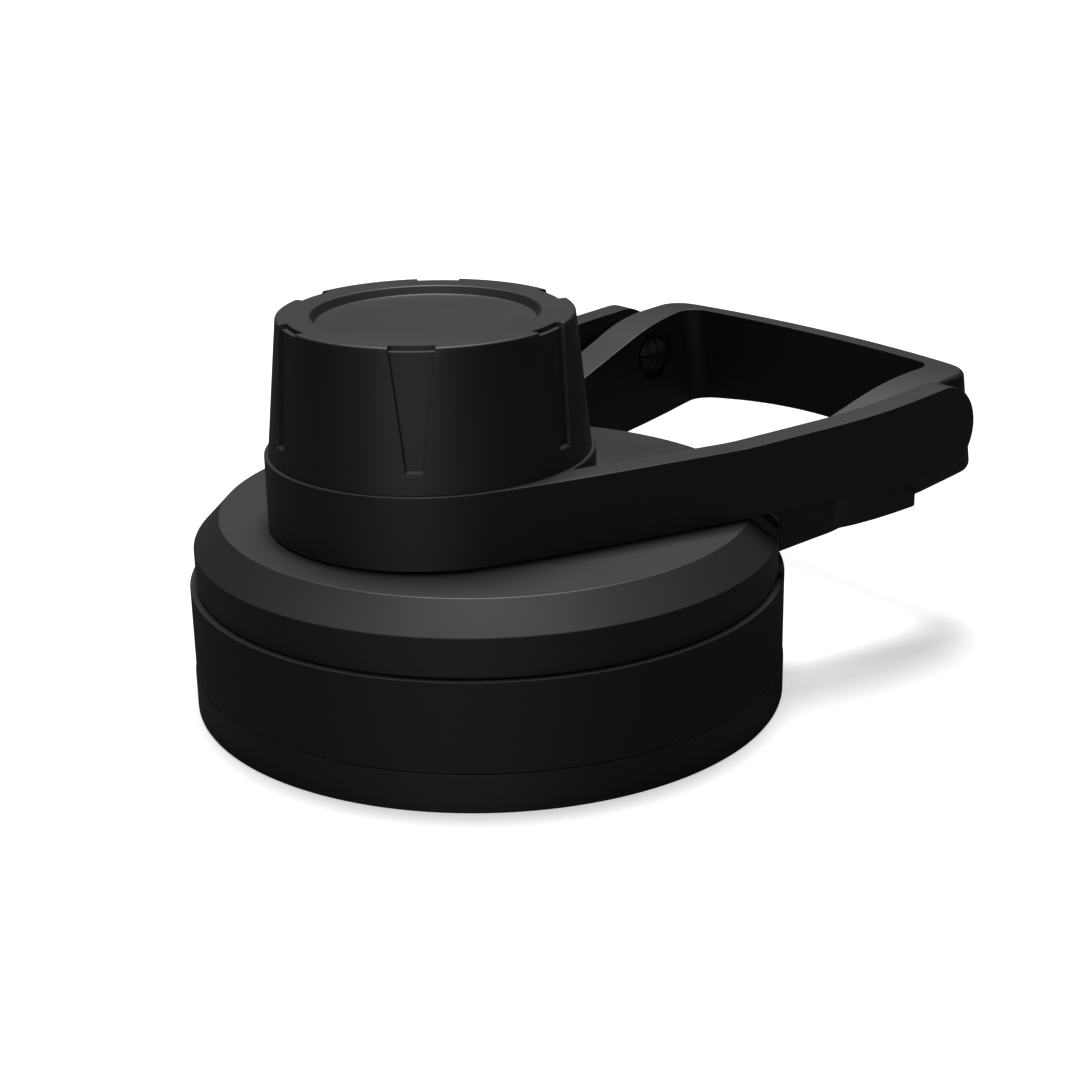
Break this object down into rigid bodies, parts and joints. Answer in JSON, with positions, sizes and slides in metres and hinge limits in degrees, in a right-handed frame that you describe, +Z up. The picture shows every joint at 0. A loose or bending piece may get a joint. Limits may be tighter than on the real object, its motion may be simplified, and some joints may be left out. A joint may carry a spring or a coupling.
{
  "type": "bottle spout lid",
  "caption": "Screw lid for a wide-mouth bottle with a grip band, a fixed carry loop, and a small notched screw cap over the spout, held in a yoke that swings back on the loop.",
  "frame": {"origin": "on the axis of the bottle thread, in the plane of the lid's bottom rim", "axes": "+Z up along the bottle's axis, +X from the lid's axis toward the carry loop, +Y along the yoke's pivot"},
  "size_m": [0.0901, 0.0662, 0.0443],
  "materials": {
    "lid_shell": "satin black moulded plastic",
    "grip_band": "matt rubber, black with a faint green cast",
    "lid_liner": "satin black moulded plastic",
    "bottle_gasket": "smooth silicone",
    "yoke": "satin black moulded plastic",
    "cap_shell": "satin black moulded plastic",
    "cap_liner": "satin black moulded plastic",
    "cap_gasket": "smooth silicone"
  },
  "bodies": {
    "lid": {"lid_shell": "lid_shell", "grip_band": "grip_band", "lid_liner": "lid_liner", "bottle_gasket": "bottle_gasket"},
    "yoke": {"yoke": "yoke"},
    "cap": {"cap_shell": "cap_shell", "cap_liner": "cap_liner", "cap_gasket": "cap_gasket"}
  },
  "joints": [
    {"name": "yoke_swing", "type": "hinge", "parent": "lid", "child": "yoke", "pos_m": [0.0441, 0, 0.0265], "axis": [0, 1, 0], "range_deg": [0, 180]},
    {"name": "cap_turn", "type": "hinge", "parent": "yoke", "child": "cap", "pos_m": [-0.0074, 0, 0.0297], "axis": [0, 0, 1], "continuous": true}
  ]
}
